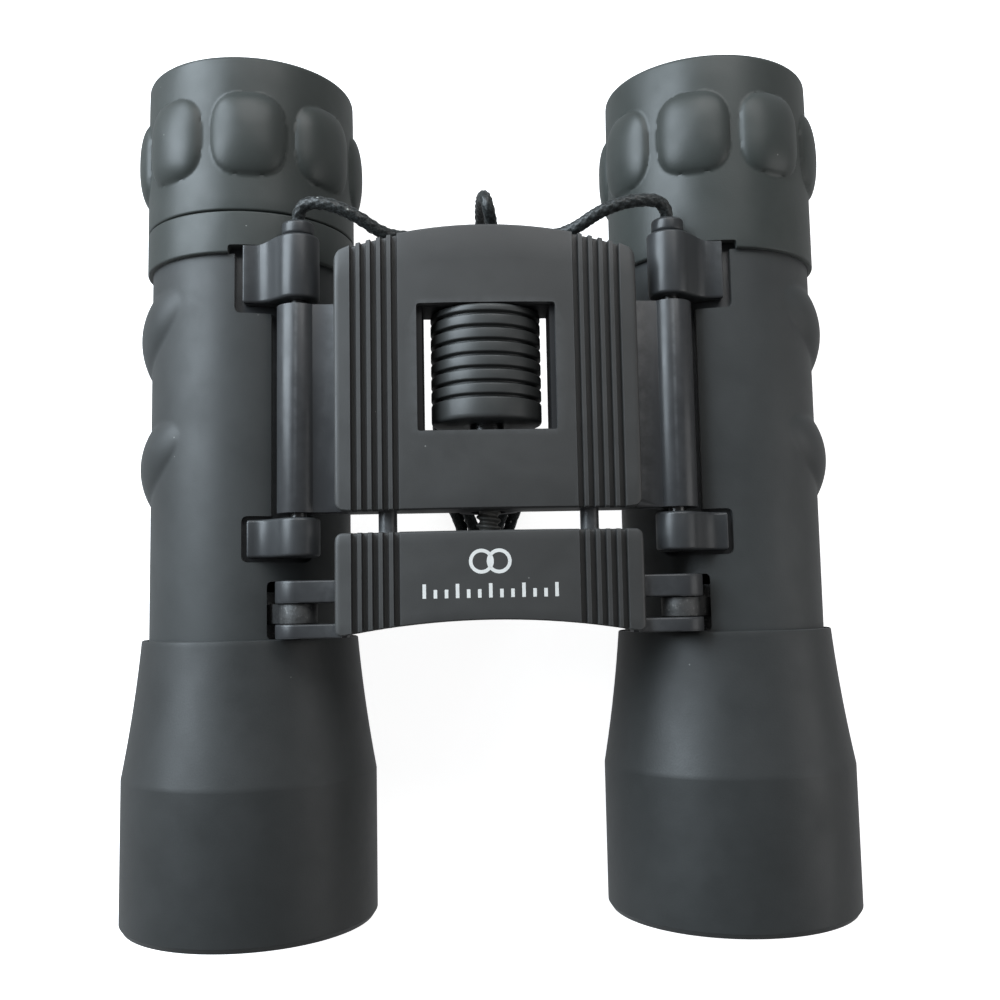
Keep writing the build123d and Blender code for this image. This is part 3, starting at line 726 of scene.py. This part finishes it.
def build_armour(side, sign):
    rows = [ARMOUR_FRONT + 0.45 * k for k in range(int((ARMOUR_REAR - ARMOUR_FRONT) / 0.45))]
    outer = [(ARMOUR_R, y) for y in rows] + [(ARMOUR_R, ARMOUR_REAR)]
    profile = outer + [(TUBE_R, ARMOUR_REAR), (TUBE_R, ARMOUR_FRONT)]
    piece = lathe(
        f"{side}_armour_skin",
        f"{side}_barrel",
        "rubber_armour",
        (sign * BARREL_X, BARREL_Z),
        profile,
        segments=240,
        push=finger_bumps(sign),
        replaces=(f"{side}_armour",),
    )
    tools = []
    for i, (y0, y1, x_out) in enumerate(((26.0, 40.0, 37.3), (-11.2, -4.4, 36.2), (-5.5, 27.0, 32.0))):
        low, high = sorted((sign * CUT_IN, sign * x_out))
        plan = rounded([(low, y0, 1.0), (high, y0, 1.0), (high, y1, 1.0), (low, y1, 1.0)])
        tools.append(cutter(f"cut_{i}", plan, CUT_FLOOR, CUT_TOP))
    cut(piece, tools)
    cut(piece, [objective_slot_tool(sign)])
    finish_piece(piece, f"{side}_barrel", "rubber_armour", 40)


# ---------------------------------------------------------------- eyepieces

EYE_R = 16.4
EYE_END = node_box("left_eyecup")[1].y
EYE_LIP = node_box("left_eyecup")[0].y
SEAM_Y = node_box("right_eyecup")[0].y
CUP_FLOOR = 57.0
CUP_MOUTH_R = 14.6
CUP_BORE_R = 13.4
CUP_STEP_Y = 47.3
RUNNING_R = 14.46
PADS = 8
PAD_Y = 53.4
PAD_WIDE = 11.3
PAD_LONG = 12.8
PAD_SQUARE = 3.0
PAD_TALL = 1.5
PAD_TILT = {"right": 8.4, "left": -19.0}


def pillow_pads(side):
    """Domed, nearly square pads round an eyecup, with a crease at their outline."""

    def push(angle, radius, y):
        if radius < EYE_R - 0.01 or abs(y - PAD_Y) > PAD_LONG / 2:
            return 0.0
        pitch = 360.0 / PADS
        around = (math.degrees(angle) - PAD_TILT[side] + pitch / 2) % pitch - pitch / 2
        s = abs(math.radians(around) * EYE_R) / (PAD_WIDE / 2)
        t = abs(y - PAD_Y) / (PAD_LONG / 2)
        d = (s**PAD_SQUARE + t**PAD_SQUARE) ** (1 / PAD_SQUARE)
        return PAD_TALL * (1 - min(d, 1.0) ** 2.2) ** 0.62

    return push


def build_eyecup(side, sign, start, hug):
    """hug is the inner radius at the front end, where the cup sits on the barrel."""
    rows = []
    y = PAD_Y - PAD_LONG / 2 - 0.6
    while y < PAD_Y + PAD_LONG / 2 + 0.6:
        rows.append((EYE_R, y))
        y += 0.33
    front = rounded(
        [(hug, start + 1.6, 0), (hug, start, 0.12), (EYE_R, start, 0.35), (EYE_R, start + 2.0, 0)]
    )[1:]
    rear = rounded(
        [
            (EYE_R, 62.0, 0),
            (EYE_R - 0.05, EYE_END, 0.75),
            (CUP_MOUTH_R, EYE_END, 0.6),
            (CUP_MOUTH_R - 0.7, CUP_FLOOR, 0.6),
            (CUP_BORE_R, CUP_FLOOR, 0.2),
            (CUP_BORE_R, CUP_STEP_Y, 0),
            (RUNNING_R, CUP_STEP_Y, 0),
            (RUNNING_R, start + 1.6, 0),
        ]
    )
    profile = [p for p in front if p[1] < rows[0][1]] + rows + rear
    body = "diopter_ring" if side == "right" else "left_barrel"
    piece = lathe(
        f"{side}_eyecup_skin",
        body,
        "eyecup_rubber",
        (sign * BARREL_X, BARREL_Z),
        profile,
        segments=336,
        push=pillow_pads(side),
        replaces=(f"{side}_eyecup",),
        sharp=38,
    )
    return piece


def notch(piece, side, sign, slot):
    """Room for the upper lug in an eyepiece's lip, deeper for its knuckle."""
    tools = []
    for i, (x_out, y_end) in enumerate(((38.2, UPPER_LUG[1] - LUG_STEP + 0.1), (31.4, UPPER_LUG[1] + 0.1))):
        low, high = sorted((sign * CUT_IN, sign * x_out))
        plan = rounded([(low, 30.0, 0), (high, 30.0, 0), (high, y_end, 0.5), (low, y_end, 0.5)])
        tools.append(cutter(f"notch_{i}", plan, CUT_FLOOR, CUT_TOP))
    cut(piece, tools)
    finish_piece(piece, f"{side}_barrel", slot, 38)


def build_eyepieces():
    cup = build_eyecup("left", 1, EYE_LIP, ARMOUR_R)
    notch(cup, "left", 1, "eyecup_rubber")
    build_eyecup("right", -1, SEAM_Y, RUNNING_R)
    seam = node_box("right_eyepiece_collar")[1].y
    profile = rounded(
        [(TUBE_R, EYE_LIP, 0.1), (EYE_R, EYE_LIP, 0.35), (EYE_R, seam, 0.3), (TUBE_R, seam, 0.1)]
    )
    collar = lathe(
        "right_eyepiece_collar_skin",
        "right_barrel",
        "eyecup_rubber",
        (-BARREL_X, BARREL_Z),
        profile,
        segments=224,
        replaces=("right_eyepiece_collar",),
        sharp=38,
    )
    notch(collar, "right", -1, "eyecup_rubber")


# ---------------------------------------------------------------- bridge covers

PLATE_HALF = node_box("rear_bridge_cover")[1].x
PLATE_TOP = node_box("rear_bridge_cover")[1].z
PLATE_CAMBER = 1.5
COVER_THICK = 1.4
RIB_START, RIB_PITCH, GROOVES = 13.15, 1.5, 5
GROOVE_DEEP = 0.95
GROOVE_HALF = 0.32
GROOVE_EDGE = 0.16
RIM_R = 0.5
REAR_BOW = 3.2
REAR_CORNER = 1.6
FRONT_BOW = 2.2
FRONT_CORNER = 1.2
FRONT_PLATE_Y = -20.1
WINDOW_HALF = 10.0
WINDOW_Y = (6.75, 25.3)


def top_z(x):
    return PLATE_TOP - PLATE_CAMBER * (x / PLATE_HALF) ** 2


def rib_section():
    """Top line of a cover from one side to the other, with rounded ribs."""
    xs = []
    grooves = [RIB_START + RIB_PITCH * i for i in range(GROOVES)]
    for sign in (-1, 1):
        for g in grooves:
            for d in (-0.6, -0.48, -0.44, -0.4, -0.36, -0.32, 0.0, 0.32, 0.36, 0.4, 0.44, 0.48, 0.6, 0.75):
                xs.append(sign * g + d)
    xs += [-PLATE_HALF + d for d in (0.0, 0.08, 0.25, 0.5, 0.9)]
    xs += [PLATE_HALF - d for d in (0.0, 0.08, 0.25, 0.5, 0.9)]
    xs += [x for x in range(-12, 13, 2)]
    line = []
    for x in sorted(set(round(x, 3) for x in xs)):
        z = top_z(x)
        for g in grooves:
            d = abs(abs(x) - g)
            z -= GROOVE_DEEP * (1 - smoothstep((d - GROOVE_HALF) / GROOVE_EDGE))
        edge = min(PLATE_HALF - abs(x), RIM_R)
        z -= RIM_R - math.sqrt(max(RIM_R**2 - (RIM_R - edge) ** 2, 0.0))
        line.append((x, z))
    return line


def corner_bite(x, corner):
    """How far a plate's end is set back at x by its rounded corner."""
    inset = max(abs(x) - (PLATE_HALF - corner), 0.0)
    return corner - math.sqrt(max(corner**2 - inset**2, 0.0))


def build_cover(name, node, body, y_front, y_rear, corner):
    """y_front and y_rear give the cover's ends at x."""
    line = rib_section()
    under = [(x, top_z(x) - COVER_THICK) for x, _ in reversed(line)]
    verts, faces = [], []
    trim = [(0.0, 0.45), (0.06, 0.2), (0.2, 0.05), (0.42, 0.0)]
    count = len(line)
    rows = []
    for inset, drop in trim:
        rows.append(("front", inset, drop))
    for k in range(1, 8):
        rows.append(("middle", k / 8, 0.0))
    for inset, drop in reversed(trim):
        rows.append(("rear", inset, drop))
    for where, value, drop in rows:
        for x, z in line:
            bite = corner_bite(x, corner)
            a, b = y_front(x) + bite, y_rear(x) - bite
            y = {"front": a + value, "middle": a + (b - a) * value, "rear": b - value}[where]
            verts.append((x, y, z - drop))
    total = len(rows)
    verts += [(x, y_front(x) + corner_bite(x, corner), z) for x, z in reversed(under)]
    verts += [(x, y_rear(x) - corner_bite(x, corner), z) for x, z in reversed(under)]
    for r in range(total - 1):
        for j in range(count - 1):
            a = r * count + j
            faces.append((a, a + 1, a + 1 + count, a + count))
    low_front, low_rear = total * count, (total + 1) * count
    for j in range(count - 1):
        faces.append((low_front + j + 1, low_front + j, low_rear + j, low_rear + j + 1))
        faces.append((low_front + j, low_front + j + 1, j + 1, j))
        top = (total - 1) * count
        faces.append((top + j, top + j + 1, low_rear + j + 1, low_rear + j))
    for j, flip in ((0, False), (count - 1, True)):
        loop = [low_front + j] + [r * count + j for r in range(total)] + [low_rear + j]
        faces.append(tuple(reversed(loop)) if flip else tuple(loop))
    return make_piece(name, body, "bridge_cover", verts, faces, 30, (node,))


def build_covers():
    low, high = node_box("rear_bridge_cover")
    front, rear = low.y, high.y

    def rear_line(x):
        return rear - REAR_BOW * (x / PLATE_HALF) ** 2

    cover = build_cover(
        "rear_cover_plate", "rear_bridge_cover", "bridge", lambda x: front, rear_line, REAR_CORNER
    )
    y0, y1 = WINDOW_Y
    half = WINDOW_HALF
    plan = rounded([(-half, y0, 0.5), (half, y0, 0.5), (half, y1, 0.5), (-half, y1, 0.5)])
    cut(cover, [cutter("window", plan, 30.0, 50.0)])
    finish_piece(cover, "bridge", "bridge_cover", 30)
    join = node_box("front_bridge_cover")[1].y

    def front_line(x):
        return FRONT_PLATE_Y - FRONT_BOW * (x / PLATE_HALF) ** 2

    build_cover(
        "front_cover_plate", "front_bridge_cover", "front_bridge", front_line, lambda x: join, FRONT_CORNER
    )


EAR_R = 3.34
EARS = {"rear": (-17.25, -14.1), "front": (-22.3, -20.3)}


def build_ears(side, sign):
    """Flat-topped ears that grow out of the front plate's sides."""
    for name, (y0, y1) in EARS.items():
        points = [(PLATE_HALF - 0.8, HINGE_Z - 1.6)]
        for k in range(25):
            a = math.radians(-62 + k * 152 / 24)
            points.append((HINGE_X + EAR_R * math.cos(a), HINGE_Z + EAR_R * math.sin(a)))
        points += [(HINGE_X - 2.5, HINGE_Z + EAR_R), (PLATE_HALF - 0.8, HINGE_Z + EAR_R - 0.3)]
        outline = [(sign * x, z) for x, z in points]
        ends = (y0 - 0.02, y1 + 0.02)
        ear = slab_along_y(f"{side}_{name}_ear", "front_bridge", "bridge_casting", outline, *ends, 0.3)
        cut(ear, [pin_hole_tool(sign, LINK_PIN_R, y0 - 1, y1 + 1)])
        finish_piece(ear, "front_bridge", "bridge_casting", 40)


def build_window_shade_walls():
    """Walls inside the window, one each side of the wheel, in near-black as painted shade that darkens the
    window's recess.
    """
    y0, y1 = WINDOW_Y
    for side, sign in SIDES.items():
        outer, inner, reach = WINDOW_HALF + 0.2, WINDOW_HALF - 0.75, 4.6
        plan = [(outer, y0 - 0.2), (outer, y1 + 0.2), (reach, y1 + 0.2), (reach, y1 - 0.15)]
        plan += [(inner, y1 - 0.15), (inner, y0 + 0.3), (reach, y0 + 0.3), (reach, y0 - 0.2)]
        count = len(plan)
        verts = [(sign * x, y, z) for z in (32.9, 40.3) for x, y in plan]
        faces = [(j, (j + 1) % count, count + (j + 1) % count, count + j) for j in range(count)]
        faces += [tuple(range(count)), tuple(range(count, 2 * count))]
        make_piece(f"{side}_window_shade_wall", "bridge", "bridge_casting", verts, faces, 30)
        shade_wall = bpy.data.objects[f"{side}_window_shade_wall"]
        # The near-black inner_black colour here is painted shade for the dark inside of the window, darker
        # than the casting's own tone.
        shade_wall.data.materials.clear()
        shade_wall.data.materials.append(FINISHES["inner_black"])


# ---------------------------------------------------------------- focusing

WHEEL_LOW, WHEEL_HIGH = node_box("focus_wheel_grip")
WHEEL_R = (WHEEL_HIGH.x - WHEEL_LOW.x) / 2


def build_wheel():
    """Grip with rounded ribs: a broad band in front and seven grooves behind it."""
    y0, y1 = WHEEL_LOW.y, WHEEL_HIGH.y
    grooves = 7
    pitch = (y1 - y0 - 2.6) / grooves
    outline = [(3.5, y0, 0), (WHEEL_R, y0, 0.7)]
    for i in reversed(range(grooves)):
        y = y1 - 1.3 - i * pitch
        outline += [(WHEEL_R, y - 0.3, 0.22), (WHEEL_R - 0.8, y - 0.18, 0.1)]
        outline += [(WHEEL_R - 0.8, y + 0.18, 0.1), (WHEEL_R, y + 0.3, 0.22)]
    outline += [(WHEEL_R, y1, 0.6), (3.5, y1, 0)]
    lathe(
        "focus_wheel_grip_ribs",
        "focus_wheel",
        "wheel_grip",
        (0.0, WHEEL_Z),
        rounded(outline, 4),
        segments=128,
        replaces=("focus_wheel_grip",),
        sharp=50,
    )


def build_screw():
    """Focus screw with a real thread where it shows between the plates."""
    low, high = node_box("focus_screw")
    radius = (high.x - low.x) / 2
    turn = 1.2
    step = turn / 12
    rows = int((high.y - low.y) / step)
    around = 36
    verts = []
    for i in range(rows + 1):
        y = low.y + step * i
        for j in range(around):
            a = 2 * math.pi * j / around
            phase = (y / turn + j / around) % 1.0
            wave = abs(phase * 2 - 1)
            r = radius - 0.45 * smoothstep(wave * 1.4 - 0.2)
            verts.append((r * math.sin(a), y, WHEEL_Z + r * math.cos(a)))
    faces = [tuple(range(around)), tuple(reversed(range(rows * around, (rows + 1) * around)))]
    for i in range(rows):
        for j in range(around):
            k = (j + 1) % around
            faces.append((i * around + j, (i + 1) * around + j, (i + 1) * around + k, i * around + k))
    make_piece("focus_screw_thread", "front_bridge", "screw_metal", verts, faces, 50, ("focus_screw",))


# ---------------------------------------------------------------- neck cord

CORD_R = 1.0
LEFT_LEAD = [
    (27.7, 39.2, 36.0),
    (27.6, 41.7, 37.2),
    (22.8, 41.6, 38.7),
    (17.6, 40.2, 38.2),
    (13.2, 37.5, 36.4),
    (9.2, 37.4, 34.0),
    (5.6, 37.8, 30.0),
    (3.0, 38.8, 25.5),
    (1.9, 40.8, 23.2),
    (1.0, 44.2, 28.8),
    (0.2, 47.6, 26.6),
    (-0.3, 47.2, 18.0),
    (0.6, 42.5, 9.5),
]
LEFT_ENTRY = [(1.6, 36.0, 4.8), (2.8, 27.0, 2.2), (4.6, 18.0, 1.1)]
RIGHT_EXIT = [(-5.0, 23.0, 5.2), (-3.4, 30.0, 5.4)]
RIGHT_LEAD = [
    (-2.6, 34.6, 7.4),
    (-2.5, 37.8, 12.0),
    (-2.3, 38.8, 20.0),
    (-3.2, 38.2, 26.5),
    (-6.5, 37.3, 31.2),
    (-10.5, 37.4, 34.4),
    (-14.8, 37.2, 36.2),
    (-18.9, 39.7, 38.2),
    (-23.5, 41.6, 38.5),
    (-27.6, 41.8, 37.0),
    (-27.7, 39.2, 36.0),
]
HANK_REAR, HANK_FRONT, HANK_TIE = 46.0, -19.5, -8.5
TIE_LIFT = 0.45


def run_points(sign, half, waist, tip, z, stations):
    """Points down one long side of a turn, pinched at the tie and opening again to tip in front of it."""
    out = []
    for y in stations:
        front = y < HANK_TIE
        away = min(abs(y - HANK_TIE) / (4.4 if front else 15.0), 1.0)
        x = waist + ((tip if front else half) - waist) * smoothstep(away)
        out.append((sign * x, y, z + TIE_LIFT * (1 - smoothstep(away * 1.5))))
    return out


def fold_points(half, y, forward, z, start_sign):
    """Points round the end fold of a turn."""
    out = []
    for k in range(1, 6):
        a = math.radians(180.0 * (k - 0.5) / 5)
        reach = half / math.cos(math.radians(18))
        out.append((start_sign * reach * math.cos(a), y + forward * reach * math.sin(a), z))
    return out


def hank_route():
    """Five turns: two nested in each of the first two layers, one on top."""
    inner, outer = (6.0, 1.05, 3.15), (8.1, 3.15, 5.4)
    turns = [(inner, 1.0), (outer, 1.0), (outer, 3.0), (inner, 3.0), (inner, 5.0)]
    front_y, rear_y = HANK_FRONT + 6.4, HANK_REAR - 9.1
    points = []
    for i, ((half, waist, tip), z) in enumerate(turns):
        down = (9.0, 2.0, -3.5, -8.5)
        if i:
            down = (24.0, 16.0) + down
        points += run_points(1, half, waist, tip, z, down)
        points += fold_points(tip, front_y, -1, z, 1)
        up = (-8.5, -3.5, 2.0, 9.0, 17.0) + ((26.0,) if i < 4 else ())
        points += run_points(-1, half, waist, tip, z, up)
        if i < 4:
            points += fold_points(half, rear_y, 1, z, -1)
            (next_half, _, _), next_z = turns[i + 1]
            points.append(((half + next_half) / 2, 31.0, (z + next_z) / 2))
    return points


def cord_curve(points):
    data = bpy.data.curves.new("cord_line", "CURVE")
    data.dimensions = "3D"
    spline = data.splines.new("NURBS")
    spline.points.add(len(points) - 1)
    for point, (x, y, z) in zip(spline.points, points):
        point.co = (x * MM, y * MM, z * MM, 1)
    spline.order_u = 3
    spline.use_endpoint_u = True
    spline.resolution_u = 10
    return bpy.data.objects.new("cord_line", data)


def line_points(points):
    """The smooth line that a NURBS spline makes of the route, in millimetres."""
    curve = cord_curve(points)
    bpy.context.scene.collection.objects.link(curve)
    mesh = bpy.data.meshes.new_from_object(curve)
    line = [v.co / MM for v in mesh.vertices]
    bpy.data.objects.remove(curve)
    bpy.data.meshes.remove(mesh)
    return line


def resample(line, fine, coarse, fine_length):
    """Points along the line: fine steps near both ends and coarse ones between."""
    marks = [0.0]
    for a, b in zip(line, line[1:]):
        marks.append(marks[-1] + (b - a).length)
    total = marks[-1]
    out, at, i = [], 0.0, 0
    while at < total:
        while marks[i + 1] < at:
            i += 1
        t = (at - marks[i]) / max(marks[i + 1] - marks[i], 1e-9)
        out.append((at, line[i].lerp(line[i + 1], t)))
        near_end = at < fine_length or at > total - fine_length
        at += fine if near_end else coarse
    out.append((total, line[-1].copy()))
    return out, total


def braided_tube(name, body, samples, radius):
    """A tube with the diamond pattern of a sixteen-strand braid."""
    around, diamonds, pitch = 24, 6, 1.7
    verts = []
    tangent = (samples[1][1] - samples[0][1]).normalized()
    normal = tangent.orthogonal().normalized()
    for i, (s, p) in enumerate(samples):
        ahead = samples[min(i + 1, len(samples) - 1)][1]
        behind = samples[max(i - 1, 0)][1]
        new_tangent = (ahead - behind).normalized()
        normal = (normal - new_tangent * normal.dot(new_tangent)).normalized()
        side = new_tangent.cross(normal)
        for j in range(around):
            a = 2 * math.pi * j / around
            one = diamonds / 2 * a + math.pi * s / pitch
            two = diamonds / 2 * a - math.pi * s / pitch
            bulge = (abs(math.sin(one)) * abs(math.sin(two))) ** 0.5
            r = radius * (0.80 + 0.23 * bulge)
            verts.append(p + (normal * math.cos(a) + side * math.sin(a)) * r)
    rows = len(samples)
    faces = [tuple(reversed(range(around))), tuple(range((rows - 1) * around, rows * around))]
    for i in range(rows - 1):
        for j in range(around):
            k = (j + 1) % around
            faces.append((i * around + j, i * around + k, (i + 1) * around + k, (i + 1) * around + j))
    return make_piece(name, body, "braided_cord", verts, faces, 70)


def build_cord():
    route = LEFT_LEAD + LEFT_ENTRY + hank_route() + RIGHT_EXIT + RIGHT_LEAD
    line = line_points(route)
    samples, total = resample(line, 0.2, 0.45, 85.0)
    cord = braided_tube("neck_cord", "bridge", samples, CORD_R)
    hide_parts("left_cord_lead", "right_cord_lead", "cord_hank")
    tie = build_tie()
    print("cord length mm", round(total, 1))


def build_tie():
    """Twist tie: three rounded bands side by side round the waist of the hank."""
    outline = [(4.5, 0.05, 1.1), (4.5, 3.9, 1.4), (2.4, 6.75, 1.4)]
    outline += [(-x, z, r) for x, z, r in reversed(outline)]
    outer = rounded(outline, 6)
    width, thick = 0.9, 0.4
    verts, faces = [], []
    count = len(outer)
    centre = Vector((0.0, 3.2))
    for band in range(3):
        y_mid = HANK_TIE + (band - 1) * (width + 0.02)
        base = len(verts)
        section = []
        for k in range(10):
            a = 2 * math.pi * k / 10
            section.append((width / 2 * math.cos(a), thick / 2 * math.sin(a)))
        for i, (x, z) in enumerate(outer):
            a, b = Vector(outer[i - 1]), Vector(outer[(i + 1) % count])
            d = (b - a).normalized()
            n = Vector((d.y, -d.x))
            if n.dot(Vector((x, z)) - centre) < 0:
                n = -n
            for dy, out in section:
                p = Vector((x, z)) + n * (out - thick / 2)
                verts.append((p.x, y_mid + dy, max(p.y, 0.03)))
        for i in range(count):
            for k in range(10):
                a = base + i * 10
                b = base + (i + 1) % count * 10
                m = (k + 1) % 10
                faces.append((a + k, a + m, b + m, b + k))
    return make_piece("cord_tie_wrap", "bridge", "cord_wrap", verts, faces, 60, ("cord_tie",))


def build_mark():
    """Plain printed device on the front plate: two rings over a row of scale ticks."""
    thick, lift = 0.05, 0.012
    shapes = []
    for x0 in (-1.25, 1.25):
        rim = []
        for k in range(48):
            a = 2 * math.pi * k / 48
            rim.append([(x0 + r * math.cos(a), -11.9 + r * math.sin(a)) for r in (1.25, 1.75)])
        shapes.append((rim, True))
    for k in range(-6, 7):
        tall = 2.0 if k % 3 == 0 else 1.2
        x = k * 1.55
        shapes.append(([[(x + d, -17.0), (x + d, -17.0 + tall)] for d in (-0.25, 0.25)], False))
    verts, faces = [], []
    for pairs, closed in shapes:
        base, count = len(verts), len(pairs)
        for pair in pairs:
            for x, y in pair:
                z = top_z(x) + lift
                verts += [(x, y, z - thick), (x, y, z)]
        steps = count if closed else count - 1
        for i in range(steps):
            a, b = base + 4 * i, base + 4 * ((i + 1) % count)
            faces += [(a, b, b + 1, a + 1), (a + 1, b + 1, b + 3, a + 3)]
            faces += [(a + 3, b + 3, b + 2, a + 2), (a + 2, b + 2, b, a)]
        if not closed:
            a, b = base, base + 4 * (count - 1)
            faces += [(a, a + 1, a + 3, a + 2), (b + 2, b + 3, b + 1, b)]
    mark = make_piece("front_plate_mark", "front_bridge", "bridge_cover", verts, faces, 30)
    mark.data.materials.clear()
    mark.data.materials.append(WHITE_PRINT)


def white_print():
    paint = Paint("white_print", (0.72, 0.72, 0.70), 0.5)
    paint.mottle(500.0, 0.06)
    return paint.done()


WHITE_PRINT = white_print()


# ---------------------------------------------------------------- build

place_camera()
light_the_scene()
lay_floor()
paint_cad_nodes()
for side, sign in SIDES.items():
    build_bell(side, sign)
    build_chassis(side, sign)
    build_armour(side, sign)
build_eyepieces()
build_covers()
softened("rear_bridge", "rear_bridge_body", 0.3)
softened("front_bridge", "front_bridge_body", 0.3)
for side in SIDES:
    softened(f"{side}_objective_carrier", f"{side}_carrier_body", 0.25)
    softened(f"{side}_strap_ferrule", f"{side}_ferrule_cap", 0.2)
for side, sign in SIDES.items():
    build_ears(side, sign)
build_window_shade_walls()
build_mark()
build_wheel()
build_screw()
build_cord()
